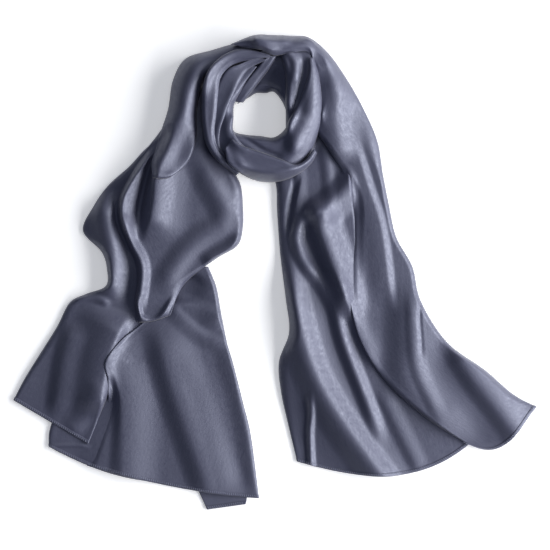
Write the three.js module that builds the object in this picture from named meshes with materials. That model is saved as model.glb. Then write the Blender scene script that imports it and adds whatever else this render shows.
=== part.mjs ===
// Evening stole of satin, laid out flat: wound once into a neck loop, with its two ends fanned out below.
// Millimetres, +Z up from the surface it lies on, +Y towards the nape of the loop.
import * as THREE from "three";

const clothThickness = 1.6;
const layerGap = 0.8; // from a stretch's underside to what it lies on
const layerReach = 6; // how far round a point a stretch looks for what it lies on
const seamGap = 0.3; // between a panel and its hem
const hemWidth = 6;
const hemThickness = 1;
const foldFade = 0.22; // share of a fold's length over which each end dies away
const floorSoftness = 2; // how gently a trough flattens on the surface
const longestRoll = 0.8; // largest share of a section that one rolled border takes
const tipDrop = 0.5; // share of its height that a stretch with a round tip keeps at that tip
const crowding = 0.5; // how much the points across a section crowd towards its borders
const crestPieces = 24; // straight pieces of a fold's crest
const stepsPerRow = 20; // steps between two sections when a stretch's length is measured
const pileCell = 2; // spacing of the height map that keeps the layers apart
const pileHalf = 420; // the height map reaches this far each way
const drapePasses = 8; // smoothing passes of a stretch over what it lies on
const drapeShare = 0.6; // share of its neighbours' lift that a point takes in each pass
const coreArch = 7; // steps over the arch of the loop's core
const coreSteps = 40; // steps round the loop's core

const satinLook = { color: 0x565970, roughness: 0.38, metalness: 0 };
const hemLook = { color: 0x4b4e64, roughness: 0.45, metalness: 0 };
const hiddenLook = { color: 0x3c3f52, roughness: 0.6, metalness: 0 };

const sectionColumns = "aX aY bX bY lift footA footB rollA rollB bow1 bow2";
const foldColumns = "x1 y1 x2 y2 x3 y3 x4 y4 rise left right";
const coreColumns = "aX aY bX bY height";

// A table's rows as objects, from a line of column names and each row's values.
function table(columns, rows) {
  const names = columns.split(" ");
  return rows.map((row) => Object.fromEntries(names.map((name, i) => [name, row[i]])));
}

// The stretches from the bottom of the pile up. A section runs from side A to side B. Its lift is its
// height, a foot is the height of a border, a roll the width over which that border rounds up, and a bow
// leans towards the next section. A fold's crest runs through four points, with a width to the left and
// to the right of that way. A trough's rise is negative. Between two rows, counted along the
// sections, a soft border A runs out gently and a tuck lets it slip under a neighbour over its width.
const stretches = [
  // left end, corner of the turned-under layer that shows below the hem
  {
    name: "left_underlap",
    along: 4,
    across: 8,
    hem: true,
    sections: table(sectionColumns, [
      [-128, -303, -42, -315, 2, 2, 2, 4, 4, 0, 0],
      [-114, -330, -42, -338, 2, 2, 2, 4, 4, 0, 0],
      [-102, -356, -44, -348, 2, 2, 2, 4, 4, 0, 0],
    ]),
    folds: [],
  },
  // left end, turned-under layer at the hem
  {
    name: "left_underlay",
    along: 9,
    across: 9,
    hem: true,
    sections: table(sectionColumns, [
      [-244, -123, -184, -120, 4, 2, 2, 6, 6, 0, 0],
      [-290, -174, -184, -171, 5, 2, 2, 6, 6, 0, 0],
      [-326, -210, -184, -213, 5, 2, 2, 6, 6, 0, 0],
      [-338, -237, -184, -261, 5, 2, 2, 6, 6, 3, 4],
      [-339, -262, -184, -314, 4, 3, 2, 5, 5, 7, 8],
    ]),
    folds: table(foldColumns, [
      [-224, -150, -236, -198, -244, -246, -250, -327, 4, 14, 60],
      [-346, -261, -320, -260, -296, -260, -274, -262, 2, 5, 5],
    ]),
  },
  // left end, outer side down to the turned-over corner
  {
    name: "left_flap",
    along: 34,
    across: 10,
    hem: true,
    sections: table(sectionColumns, [
      [-172, 202, -152, 201, 12, 2, 3, 12, 6, 0, 0],
      [-195, 184, -160, 168, 12, 2, 3, 12, 6, 0, 0],
      [-219, 158, -172, 141, 12, 2, 3, 14, 6, 0, 0],
      [-250, 130, -184, 116, 11, 2, 3, 14, 6, 0, 0],
      [-272, 99, -192, 88, 10, 2, 3, 16, 6, 0, 0],
      [-288, 62, -195, 54, 9, 2, 3, 16, 6, 0, 0],
      [-260, 30, -190, 24, 10, 2, 3, 12, 6, 0, 0],
      [-252, 4, -188, -4, 11, 2, 3, 10, 6, 0, 0],
      [-254, -21, -184, -33, 10, 2, 3, 10, 6, 0, 0],
      [-284, -33, -184, -57, 9, 2, 3, 12, 6, 0, 0],
      [-308, -46, -188, -84, 8, 2, 3, 12, 6, 0, 0],
      [-327, -82, -208, -114, 8, 2, 3, 12, 6, 0, 0],
      [-352, -122, -230, -144, 8, 2, 4, 10, 6, 0, 0],
      [-375, -159, -244, -171, 7, 2, 5, 8, 5, 0, 0],
      [-392, -192, -280, -258, 5, 3, 5, 5, 4, 0, 0],
    ]),
    folds: table(foldColumns, [
      [-256, 126, -252, 75, -242, 15, -250, -54, 14, 26, 32],
      [-218, -51, -238, -102, -250, -147, -268, -234, 8, 22, 90],
      [-297, -69, -314, -123, -322, -171, -330, -225, 6, 30, 20],
      [-254, -159, -274, -198, -292, -222, -314, -249, 4, 22, 28],
      [-340, -117, -357, -150, -372, -180, -386, -207, 3, 8, 10],
      [-308, -42, -286, -39, -266, -40, -244, -50, 4, 9, 9],
    ]),
  },
  // left end, front panel with its two long folds, over the turned-over corner at its top
  {
    name: "left_centre",
    along: 21,
    across: 16,
    hem: true,
    soft: { from: 4.6, to: 99 },
    sections: table(sectionColumns, [
      [-172, 9, -100, 8, 8, 2, 2, 6, 6, 0, 0],
      [-182, -27, -88, -22, 9, 2, 2, 6, 6, 0, 0],
      [-192, -68, -81, -60, 9, 3, 2, 8, 6, 0, 0],
      [-230, -102, -72, -105, 10, 4, 8, 12, 4, 0, 0],
      [-254, -134, -64, -132, 10, 4, 8, 12, 4, 0, 0],
      [-250, -162, -57, -159, 9, 3, 8, 13, 4, 0, 0],
      [-250, -195, -48, -195, 8, 2, 8, 20, 4, 0, 0],
      [-266, -248, -36, -246, 6, 2, 8, 34, 4, 3, 4],
      [-282, -290, -24, -339, 4, 2, 8, 42, 4, 6, 6.5],
    ]),
    folds: table(foldColumns, [
      [-208, -84, -246, -132, -226, -195, -230, -372, 10, 60, 30],
      [-178, -57, -158, -147, -140, -204, -82, -372, 10, 56, 34],
      [-140, -99, -122, -144, -102, -192, -58, -357, 4, 26, 24],
      [-82, -75, -63, -141, -45, -201, -16, -357, 4, 12, 28],
      [-128, 9, -142, -12, -152, -30, -154, -51, -7, 48, 12],
      [-160, -36, -128, -51, -104, -60, -68, -72, 4, 18, 30],
      [-166, -45, -134, -75, -104, -98, -68, -108, 3, 14, 20],
    ]),
  },
  // left end, from under the roll to the pouch that folds over the front panel
  {
    name: "left_body",
    along: 29,
    across: 16,
    roundTip: 2,
    soft: { from: 2.2, to: 99 },
    sections: table(sectionColumns, [
      [-140, 282, -92, 270, 12, 2, 8, 10, 8, 0, 0],
      [-154, 240, -88, 231, 15, 2, 8, 12, 8, 0, 0],
      [-176, 206, -86, 196, 17, 2, 7, 16, 8, 0, 0],
      [-198, 177, -70, 165, 18, 3, 4, 16, 10, 0, 0],
      [-220, 144, -52, 132, 17, 3, 2, 13, 14, 0, 0],
      [-237, 110, -48, 99, 16, 4, 2, 12, 14, 0, 0],
      [-238, 76, -48, 68, 16, 5, 2, 12, 16, 0, 0],
      [-225, 42, -56, 40, 16, 6, 2, 12, 18, 0, 0],
      [-213, 14, -88, 20, 16, 7, 4, 10, 18, 0, 0],
      [-210, -16, -130, -12, 16, 8, 6, 9, 10, 0, 0],
      [-214, -45, -146, -36, 15, 8, 7, 9, 8, 0, 0],
      [-207, -76, -156, -64, 13, 8, 7, 8, 8, 3, 3],
    ]),
    folds: table(foldColumns, [
      [-146, 213, -177, 153, -184, 108, -192, 39, 13, 62, 15],
      [-176, 198, -189, 147, -200, 108, -208, 63, -5, 8, 12],
      [-176, 207, -216, 141, -230, 96, -213, 44, 11, 28, 14],
      [-230, 96, -216, 48, -198, 6, -206, -66, 9, 14, 10],
      [-207, -30, -200, -68, -174, -70, -146, -30, 5, 7, 7],
      [-172, -39, -152, 6, -112, 51, -46, 87, 5.5, 26, 24],
      [-110, 12, -87, 28, -69, 40, -46, 63, 5, 12, 12],
      [-124, 213, -110, 168, -93, 130, -62, 72, 7.5, 26, 30],
    ]),
  },
  // left end, roll from the nape over the shoulder
  {
    name: "left_roll",
    along: 19,
    across: 9,
    roundTip: 2,
    soft: { from: 4.6, to: 99 },
    sections: table(sectionColumns, [
      [-56, 344, -20, 322, 30, 4, 14, 14, 8, 0, 0],
      [-94, 333, -58, 309, 35, 2, 14, 22, 8, 0, 0],
      [-134, 320, -96, 294, 38, 2, 16, 28, 10, 0, 0],
      [-153, 288, -111, 270, 37, 2, 16, 30, 14, 0, 0],
      [-160, 246, -117, 237, 35, 3, 16, 28, 18, 0, 0],
      [-170, 213, -117, 207, 32, 8, 16, 22, 20, 0, 0],
      [-178, 184, -123, 178, 29, 12, 16, 20, 20, 0, 0],
      [-184, 160, -136, 156, 26, 14, 16, 16, 16, 0, 0],
      [-182, 140, -156, 141, 22, 15, 15, 8, 8, 2, 2],
    ]),
    folds: table(foldColumns, [
      [-98, 333, -130, 276, -142, 225, -172, 141, 5, 20, 30],
    ]),
  },
  // right end, the sheet that lies underneath
  {
    name: "right_inner",
    along: 28,
    across: 16,
    hem: true,
    sections: table(sectionColumns, [
      [-4, 150, 88, 230, 9, 4, 4, 8, 6, 0, 0],
      [2, 126, 108, 180, 13, 2, 4, 16, 8, 0, 0],
      [3, 93, 118, 129, 14, 2, 3, 20, 8, 0, 0],
      [6, 48, 124, 72, 13, 2, 2, 22, 8, 0, 0],
      [9, 15, 128, 15, 12, 2, 2, 20, 8, 0, 0],
      [16, -40, 136, -45, 11, 2, 3, 18, 8, 0, 0],
      [21, -90, 160, -102, 10, 2, 4, 18, 8, 0, 0],
      [6, -134, 194, -153, 9, 2, 4, 16, 6, 0, 0],
      [9, -180, 231, -192, 8, 2, 4, 14, 6, 0, 0],
      [20, -230, 267, -222, 6, 2, 4, 10, 6, 12, 13.5],
      [33, -284, 304, -246, 4, 3, 3, 5, 5, 33, 39],
    ]),
    folds: table(foldColumns, [
      [16, 48, 34, -75, 80, -195, 218, -387, 27, 34, 34],
      [51, -174, 54, -214, 52, -246, 56, -327, 6, 9, 8],
      [70, 108, 36, 69, 36, 33, 64, -18, 8, 16, 16],
      [40, 21, 86, -45, 106, -114, 166, -267, 9, 17, 16],
      [134, 162, 69, 94, 78, 45, 116, -69, 17, 40, 26],
      [86, 15, 100, -24, 112, -60, 160, -150, 7, 16, 18],
      [32, 171, 34, 138, 34, 108, 32, 60, 3, 18, 9],
      [36, 150, 28, 117, 22, 90, 20, 48, -4, 8, 10],
      [70, 201, 76, 168, 80, 135, 80, 99, 3, 14, 14],
      [152, -168, 170, -201, 184, -231, 224, -312, 3.5, 22, 16],
    ]),
  },
  // loop, inner wall at the nape
  {
    name: "loop_back",
    along: 14,
    across: 7,
    sections: table(sectionColumns, [
      [-56, 252, -34, 309, 12, 2, 16, 8, 4, 0, 0],
      [-40, 261, -22, 315, 12, 2, 14, 8, 4, 0, 0],
      [-28, 268, -10, 318, 12, 2, 15, 8, 4, 0, 0],
      [-14, 268, 0, 320, 12, 2, 15, 8, 4, 0, 0],
      [-2, 270, 9, 318, 12, 2, 15, 8, 4, 0, 0],
      [9, 258, 18, 312, 13, 2, 16, 8, 4, 0, 0],
      [16, 243, 24, 296, 18, 2, 18, 8, 4, 0, 0],
      [20, 225, 28, 266, 18, 2, 18, 6, 4, 0, 0],
    ]),
    folds: table(foldColumns, [
      [-32, 276, -20, 279, -8, 278, 10, 270, 3, 5, 5],
    ]),
  },
  // loop, strip that crosses the inner wall
  {
    name: "loop_nape",
    along: 11,
    across: 5,
    sections: table(sectionColumns, [
      [3, 322, -14, 320, 30, 18, 22, 7, 5, 0, 0],
      [-8, 304, -28, 304, 29, 18, 22, 7, 5, 0, 0],
      [-20, 288, -42, 288, 27, 17, 20, 7, 5, 0, 0],
      [-34, 270, -54, 272, 24, 12, 18, 6, 5, 0, 0],
      [-44, 258, -57, 258, 20, 4, 14, 6, 5, 0, 0],
    ]),
    folds: [],
  },
  // loop, fold inside the right side
  {
    name: "loop_right_inner",
    along: 13,
    across: 8,
    sections: table(sectionColumns, [
      [9, 322, 56, 327, 36, 18, 30, 10, 5, 0, 0],
      [14, 303, 58, 303, 38, 18, 30, 10, 5, 0, 0],
      [16, 280, 57, 276, 38, 14, 30, 10, 5, 0, 0],
      [18, 258, 51, 249, 36, 4, 30, 9, 5, 0, 0],
      [20, 237, 42, 231, 33, 2, 28, 8, 5, 0, 0],
      [20, 218, 38, 214, 30, 2, 26, 7, 5, 0, 0],
    ]),
    folds: table(foldColumns, [
      [14, 336, 27, 318, 30, 303, 27, 276, 5, 14, 9],
      [42, 324, 40, 294, 36, 267, 28, 240, -3, 8, 7],
    ]),
  },
  // loop, band along the front of the neck opening and up the right side
  {
    name: "loop_front_inner",
    along: 26,
    across: 8,
    sections: table(sectionColumns, [
      [-62, 234, -82, 207, 30, 4, 26, 7, 4, 0, 0],
      [-62, 212, -76, 186, 33, 2, 26, 8, 4, 0, 0],
      [-44, 206, -48, 171, 36, 2, 26, 10, 4, 0, 0],
      [-22, 204, -20, 162, 37, 2, 26, 11, 4, 0, 0],
      [-2, 202, 9, 154, 38, 2, 26, 11, 5, 0, 0],
      [14, 213, 34, 156, 39, 2, 20, 10, 22, 0, 0],
      [21, 228, 56, 183, 40, 8, 14, 9, 22, 0, 0],
      [32, 246, 68, 222, 41, 30, 27, 8, 16, 0, 0],
      [42, 270, 70, 255, 41, 32, 30, 7, 16, 0, 0],
      [50, 297, 66, 291, 41, 34, 32, 5, 11, 0, 0],
      [51, 320, 58, 318, 40, 34, 30, 3, 4, 0, 0],
    ]),
    folds: table(foldColumns, [
      [-58, 207, -34, 192, -14, 180, 14, 171, -3, 6, 6],
      [8, 156, 32, 195, 51, 240, 54, 324, 5, 16, 18],
    ]),
  },
  // loop, innermost fold of the left side
  {
    name: "loop_left_inner",
    along: 14,
    across: 6,
    sections: table(sectionColumns, [
      [-27, 306, -42, 309, 30, 25, 26, 6, 4, 0, 0],
      [-42, 286, -58, 291, 31, 23, 27, 8, 4, 0, 0],
      [-51, 270, -74, 267, 33, 12, 29, 11, 4, 0, 0],
      [-61, 250, -82, 243, 34, 2, 29, 14, 4, 0, 0],
      [-62, 230, -90, 220, 34, 2, 29, 14, 4, 0, 0],
      [-62, 210, -93, 198, 33, 2, 27, 14, 4, 0, 0],
      [-50, 192, -86, 172, 30, 20, 24, 10, 4, 0, 0],
      [-34, 178, -68, 156, 26, 18, 20, 8, 4, 0, 0],
    ]),
    folds: table(foldColumns, [
      [-50, 285, -60, 258, -66, 228, -72, 192, 3, 7, 7],
    ]),
  },
  // loop, middle fold of the left side
  {
    name: "loop_left_middle",
    along: 15,
    across: 5,
    sections: table(sectionColumns, [
      [-12, 316, -26, 321, 32, 29, 28, 5, 4, 0, 0],
      [-38, 303, -52, 310, 34, 30, 29, 6, 4, 0, 0],
      [-51, 285, -74, 300, 36, 31, 31, 6, 4, 0, 0],
      [-64, 258, -88, 273, 36, 31, 31, 6, 4, 0, 0],
      [-75, 231, -96, 243, 35, 31, 31, 6, 4, 0, 0],
      [-82, 207, -99, 216, 34, 30, 29, 6, 4, 0, 0],
      [-80, 183, -98, 189, 32, 28, 27, 6, 4, 0, 0],
      [-63, 164, -80, 164, 28, 24, 23, 5, 4, 0, 0],
    ]),
    folds: [],
  },
  // loop, outermost fold of the left side
  {
    name: "loop_left_outer",
    along: 22,
    across: 6,
    sections: table(sectionColumns, [
      [-3, 320, -10, 324, 35, 32, 28, 3, 3, 0, 0],
      [-34, 316, -44, 333, 38, 34, 26, 5, 6, 0, 0],
      [-62, 309, -72, 326, 38, 34, 20, 5, 8, 0, 0],
      [-80, 291, -96, 306, 38, 34, 14, 5, 8, 0, 0],
      [-84, 266, -108, 279, 38, 34, 12, 5, 8, 0, 0],
      [-87, 236, -111, 246, 38, 34, 11, 5, 8, 0, 0],
      [-90, 208, -108, 210, 37, 33, 10, 5, 8, 0, 0],
      [-84, 186, -100, 184, 36, 31, 8, 5, 8, 0, 0],
      [-68, 168, -84, 164, 33, 29, 6, 5, 8, 0, 0],
      [-46, 154, -58, 144, 29, 26, 4, 4, 6, 0, 0],
    ]),
    folds: [],
  },
  // loop, folded-over band along the front
  {
    name: "loop_cowl",
    along: 18,
    across: 8,
    sections: table(sectionColumns, [
      [-64, 198, -75, 183, 40, 34, 30, 5, 5, 0, 0],
      [-51, 189, -69, 160, 44, 36, 14, 6, 12, 0, 0],
      [-33, 183, -46, 144, 45, 37, 3, 6, 18, 0, 0],
      [-12, 176, -20, 135, 45, 37, 2, 6, 20, 0, 0],
      [9, 168, 10, 136, 44, 37, 2, 6, 18, 0, 0],
      [30, 160, 36, 147, 42, 36, 4, 5, 10, 0, 0],
      [46, 168, 54, 162, 37, 32, 10, 4, 6, 0, 0],
      [58, 184, 63, 178, 30, 28, 14, 3, 3, 0, 0],
    ]),
    folds: table(foldColumns, [
      [-64, 180, -44, 156, -10, 147, 44, 156, 3, 8, 8],
    ]),
  },
  // right end, from the nape band over the loop and down the outer side to the far corner
  {
    name: "right_outer",
    along: 46,
    across: 11,
    hem: true,
    soft: { from: 8.4, to: 12.7 },
    tuck: { from: 4.9, to: 7.5, width: 15 },
    sections: table(sectionColumns, [
      [-52, 336, -66, 340, 36, 33, 28, 4, 4, 0, 0],
      [-20, 330, -32, 354, 43, 34, 14, 8, 12, 0, 0],
      [0, 322, -4, 355, 45, 32, 4, 8, 16, 0, 0],
      [26, 327, 26, 354, 45, 32, 2, 8, 18, 0, 0],
      [51, 326, 52, 351, 42, 32, 2, 9, 20, 0, 0],
      [69, 298, 80, 328, 28, 20, 2, 6, 16, 0, 0],
      [66, 261, 106, 292, 24, 15, 2, 14, 14, 0, 0],
      [63, 226, 130, 250, 20, 13, 2, 12, 10, 0, 0],
      [80, 183, 153, 198, 16, 13, 2, 8, 9, 0, 0],
      [104, 142, 162, 146, 15, 8, 2, 14, 8, 0, 0],
      [108, 105, 171, 100, 14, 3, 2, 26, 8, 0, 0],
      [108, 54, 182, 52, 13, 3, 2, 26, 8, 0, 0],
      [108, 2, 206, 8, 12, 3, 2, 26, 8, 0, 0],
      [112, -48, 219, -44, 12, 4, 2, 20, 8, 0, 0],
      [128, -106, 258, -105, 14, 6, 2, 12, 9, 0, 0],
      [165, -164, 315, -147, 14, 6, 2, 10, 10, 0, 0],
      [225, -218, 357, -183, 12, 6, 2, 9, 10, 9, 9],
      [284, -255, 392, -202, 8, 4, 3, 8, 8, 30, 20],
    ]),
    folds: table(foldColumns, [
      [62, 348, 94, 282, 88, 234, 100, 150, 17, 44, 27],
      [-44, 348, -20, 344, 2, 344, 26, 348, 4, 8, 16],
      [112, 210, 136, 132, 158, 60, 174, -69, 6.5, 14, 52],
      [136, 228, 156, 156, 168, 99, 184, 30, 1.5, 14, 18],
      [201, 3, 201, -102, 206, -174, 292, -267, 9.5, 64, 44],
      [204, -12, 206, -87, 214, -150, 256, -237, 3, 20, 14],
      [218, -30, 216, -66, 218, -96, 220, -135, -2, 5, 5],
      [256, -93, 296, -156, 328, -198, 386, -276, 8, 46, 26],
      [-34, 360, -30, 346, -22, 333, -14, 315, 9, 38, 9],
    ]),
  },
];

// The loop's hidden core: its side A lies along the neck opening and side B under the bands.
const coreSections = table(coreColumns, [
  [-20, 303, -20, 340, 24],
  [22, 279, 52, 318, 26],
  [30, 238, 60, 246, 26],
  [22, 207, 46, 180, 25],
  [-20, 194, -16, 150, 25],
  [-62, 198, -82, 174, 24],
  [-74, 232, -100, 237, 24],
  [-56, 273, -88, 303, 25],
]);

const clamp = (value, low, high) => Math.min(Math.max(value, low), high);
const ease = (t) => t * t * (3 - 2 * t);

// Each column of a table between its rows, at v rows from the first, as a smooth curve.
function rowAt(rows, v, closed) {
  const last = rows.length - 1;
  const k = closed ? Math.floor(v) : clamp(Math.floor(v), 0, last - 1);
  const pick = (i) => (closed ? rows[(i + rows.length) % rows.length] : rows[clamp(i, 0, last)]);
  const [p, q, r, s] = [pick(k - 1), pick(k), pick(k + 1), pick(k + 2)];
  const t = v - k;
  const between = (a, b, c, d) => {
    const [slope, bend, twist] = [c - a, 2 * a - 5 * b + 4 * c - d, 3 * b - a - 3 * c + d];
    return b + 0.5 * t * (slope + t * (bend + t * twist));
  };
  const names = Object.keys(q);
  return Object.fromEntries(names.map((name) => [name, between(p[name], q[name], r[name], s[name])]));
}

// The plan point at u across a section, which bows towards the next one at a third and at two thirds.
function planPoint(row, u) {
  const [dx, dy] = [row.bX - row.aX, row.bY - row.aY];
  const chord = Math.hypot(dx, dy);
  const [third, twoThirds] = [1 / 3, 2 / 3];
  const arch = (u * (1 - u)) / (third * twoThirds);
  const bow = (arch * (row.bow1 * (twoThirds - u) + row.bow2 * (u - third))) / third;
  return { x: row.aX + u * dx + (bow * dy) / chord, y: row.aY + u * dy - (bow * dx) / chord, chord };
}

// Places along a stretch, in rows, evenly spaced by length; a hem takes the last step.
function stepsAlong(stretch) {
  const rows = stretch.sections;
  const fine = stepsPerRow * (rows.length - 1);
  const middles = Array.from({ length: fine + 1 }, (_, i) => planPoint(rowAt(rows, i / stepsPerRow), 0.5));
  const runs = [0];
  for (let i = 1; i <= fine; i++)
    runs.push(runs[i - 1] + Math.hypot(middles[i].x - middles[i - 1].x, middles[i].y - middles[i - 1].y));
  const length = runs[fine];
  const even = stretch.hem ? length - hemWidth : length;
  const count = stretch.hem ? stretch.along - 1 : stretch.along;
  const goals = Array.from({ length: count + 1 }, (_, i) => (even * i) / count);
  if (stretch.hem) goals.push(length);
  return goals.map((goal) => {
    const i = clamp(runs.findIndex((run) => run >= goal - 1e-6), 1, fine);
    return (i - 1 + (goal - runs[i - 1]) / (runs[i] - runs[i - 1])) / stepsPerRow;
  });
}

// How far a rolled border has risen, as a share, at a distance in from it.
const rolled = (distance, roll) => Math.sqrt(1 - (1 - clamp(distance / roll, 0, 1)) ** 2);

// The same for a border that runs out softly into what it lies on.
const sloped = (distance, roll) => ease(clamp(distance / roll, 0, 1));

// Whether a point, at v rows along and at a distance from border A, slips under a neighbour.
const slipsUnder = (tuck, v, distance) => tuck && v > tuck.from && v < tuck.to && distance < tuck.width;

// A fold's crest as a smooth line in plan.
function foldLine(fold) {
  const points = [1, 2, 3, 4].map((i) => new THREE.Vector3(fold["x" + i], fold["y" + i], 0));
  return new THREE.CatmullRomCurve3(points).getSpacedPoints(crestPieces);
}

// A fold's height at a plan point: a soft ridge or trough with its own width on either side of its crest.
function foldRise(fold, line, x, y) {
  let best = { distance: Infinity, along: 0, side: 0 };
  for (let i = 0; i + 1 < line.length; i++) {
    const [dx, dy] = [line[i + 1].x - line[i].x, line[i + 1].y - line[i].y];
    const t = clamp(((x - line[i].x) * dx + (y - line[i].y) * dy) / (dx * dx + dy * dy), 0, 1);
    const [ox, oy] = [x - line[i].x - t * dx, y - line[i].y - t * dy];
    const distance = Math.hypot(ox, oy);
    if (distance < best.distance)
      best = { distance, along: (i + t) / (line.length - 1), side: dx * oy - dy * ox };
  }
  const across = best.distance / (best.side > 0 ? fold.left : fold.right);
  if (across >= 1) return 0;
  const ends = ease(clamp(best.along / foldFade, 0, 1)) * ease(clamp((1 - best.along) / foldFade, 0, 1));
  return fold.rise * ends * (0.5 + 0.5 * Math.cos(Math.PI * across));
}

// A height map of everything laid down so far.
const pileWidth = Math.round((2 * pileHalf) / pileCell) + 1;
const pile = new Float32Array(pileWidth * pileWidth);
const pileIndex = (value) => clamp(Math.round((value + pileHalf) / pileCell), 0, pileWidth - 1);

// Raises the height map to a grid of points.
function layDown(grid) {
  for (let j = 0; j + 1 < grid.length; j++)
    for (let i = 0; i + 1 < grid[j].length; i++) {
      const [p, q, r, s] = [grid[j][i], grid[j][i + 1], grid[j + 1][i], grid[j + 1][i + 1]];
      const longest = Math.max(p.distanceTo(q), p.distanceTo(r), q.distanceTo(s), r.distanceTo(s));
      const steps = Math.ceil(longest) + 1;
      for (let a = 0; a <= steps; a++)
        for (let b = 0; b <= steps; b++) {
          const at = p.clone().lerp(q, a / steps).lerp(r.clone().lerp(s, a / steps), b / steps);
          const cell = pileIndex(at.y) * pileWidth + pileIndex(at.x);
          pile[cell] = Math.max(pile[cell], at.z);
        }
    }
}

// The highest thing laid down within reach of a plan point.
function pileTop(x, y) {
  const cells = Math.ceil(layerReach / pileCell);
  const [column, row] = [pileIndex(x), pileIndex(y)];
  let top = 0;
  for (let j = Math.max(row - cells, 0); j <= Math.min(row + cells, pileWidth - 1); j++)
    for (let i = Math.max(column - cells, 0); i <= Math.min(column + cells, pileWidth - 1); i++)
      top = Math.max(top, pile[j * pileWidth + i]);
  return top;
}

// The top points of a stretch: its own rolled section and folds, lifted clear of what it lies on.
function drape(stretch) {
  const lines = stretch.folds.map(foldLine);
  const steps = stepsAlong(stretch);
  const grid = steps.map((v, j) => {
    const row = rowAt(stretch.sections, v);
    return Array.from({ length: stretch.across + 1 }, (_, i) => {
      const even = i / stretch.across;
      const u = (1 - crowding) * even + crowding * ease(even);
      const { x, y, chord } = planPoint(row, u);
      const inside = stretch.soft ? Math.min(v - stretch.soft.from, stretch.soft.to - v) : 0;
      const soft = ease(clamp(inside, 0, 1));
      const rollA = Math.min(row.rollA, longestRoll * chord);
      const edgeA = (1 - soft) * rolled(u * chord, rollA) + soft * sloped(u * chord, rollA);
      const edgeB = rolled((1 - u) * chord, Math.min(row.rollB, longestRoll * chord));
      const base = row.lift - (row.lift - row.footA) * (1 - edgeA) - (row.lift - row.footB) * (1 - edgeB);
      const folds = stretch.folds.reduce((sum, fold, k) => sum + foldRise(fold, lines[k], x, y), 0);
      const tip = stretch.roundTip ? rolled(steps.length - 1 - j, stretch.roundTip) : 1;
      const own = (base + folds * edgeA * edgeB) * (tipDrop + (1 - tipDrop) * tip) - clothThickness;
      const height = 0.5 * (own + Math.hypot(own, floorSoftness));
      return new THREE.Vector3(x, y, clothThickness + height);
    });
  });
  const wanted = grid.map((line, j) => line.map((p) => {
    if (slipsUnder(stretch.tuck, steps[j], Math.hypot(p.x - line[0].x, p.y - line[0].y))) return 0;
    const top = pileTop(p.x, p.y);
    return top > 0 ? Math.max(0, top + clothThickness + layerGap - p.z) : 0;
  }));
  let lift = wanted.map((line) => line.slice());
  for (let pass = 0; pass < drapePasses; pass++)
    lift = lift.map((line, j) => line.map((value, i) => {
      const near = [lift[j - 1]?.[i], lift[j + 1]?.[i], line[i - 1], line[i + 1]];
      const found = near.filter((n) => n !== undefined);
      const mean = found.reduce((sum, n) => sum + n, 0) / found.length;
      return Math.max(wanted[j][i], (1 - drapeShare) * value + drapeShare * mean);
    }));
  grid.forEach((line, j) => line.forEach((p, i) => (p.z += lift[j][i])));
  return grid;
}

// Upward unit normals at the points of a grid.
function normals(grid) {
  const last = grid.length - 1;
  const side = grid[0].length - 1;
  return grid.map((line, j) => line.map((_, i) => {
    const along = grid[Math.min(j + 1, last)][i].clone().sub(grid[Math.max(j - 1, 0)][i]);
    const across = line[Math.min(i + 1, side)].clone().sub(line[Math.max(i - 1, 0)]);
    const normal = along.cross(across).normalize();
    return normal.z < 0 ? normal.negate() : normal;
  }));
}

// A closed wall between a lower and an upper grid of points.
function wall(lower, upper) {
  const [rows, columns] = [upper.length, upper[0].length];
  const points = [...upper.flat(), ...lower.flat()];
  const top = (j, i) => j * columns + i;
  const under = (j, i) => rows * columns + j * columns + i;
  const faces = [];
  const quad = (a, b, c, d) => faces.push(a, b, c, a, c, d);
  for (let j = 0; j + 1 < rows; j++)
    for (let i = 0; i + 1 < columns; i++) {
      quad(top(j, i), top(j + 1, i), top(j + 1, i + 1), top(j, i + 1));
      quad(under(j, i), under(j, i + 1), under(j + 1, i + 1), under(j + 1, i));
    }
  for (let j = 0; j + 1 < rows; j++) {
    quad(top(j, 0), under(j, 0), under(j + 1, 0), top(j + 1, 0));
    quad(top(j, columns - 1), top(j + 1, columns - 1), under(j + 1, columns - 1), under(j, columns - 1));
  }
  for (let i = 0; i + 1 < columns; i++) {
    quad(top(0, i), top(0, i + 1), under(0, i + 1), under(0, i));
    quad(top(rows - 1, i), under(rows - 1, i), under(rows - 1, i + 1), top(rows - 1, i + 1));
  }
  return outward(points, faces);
}

// A geometry with its faces turned outwards.
function outward(points, faces) {
  let volume = 0;
  for (let k = 0; k < faces.length; k += 3) {
    const [p, q, r] = [points[faces[k]], points[faces[k + 1]], points[faces[k + 2]]];
    volume += p.dot(q.clone().cross(r));
  }
  if (volume < 0) faces.reverse();
  const geometry = new THREE.BufferGeometry().setFromPoints(points);
  geometry.setIndex(faces);
  geometry.computeVertexNormals();
  return geometry;
}

const moved = (grid, normal, distance) =>
  grid.map((line, j) => line.map((p, i) => p.clone().addScaledVector(normal[j][i], distance)));

const stole = new THREE.Group();
stole.name = "evening_stole";

function addPiece(name, geometry, look) {
  const mesh = new THREE.Mesh(geometry, new THREE.MeshStandardMaterial(look));
  mesh.name = name;
  stole.add(mesh);
}

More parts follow.
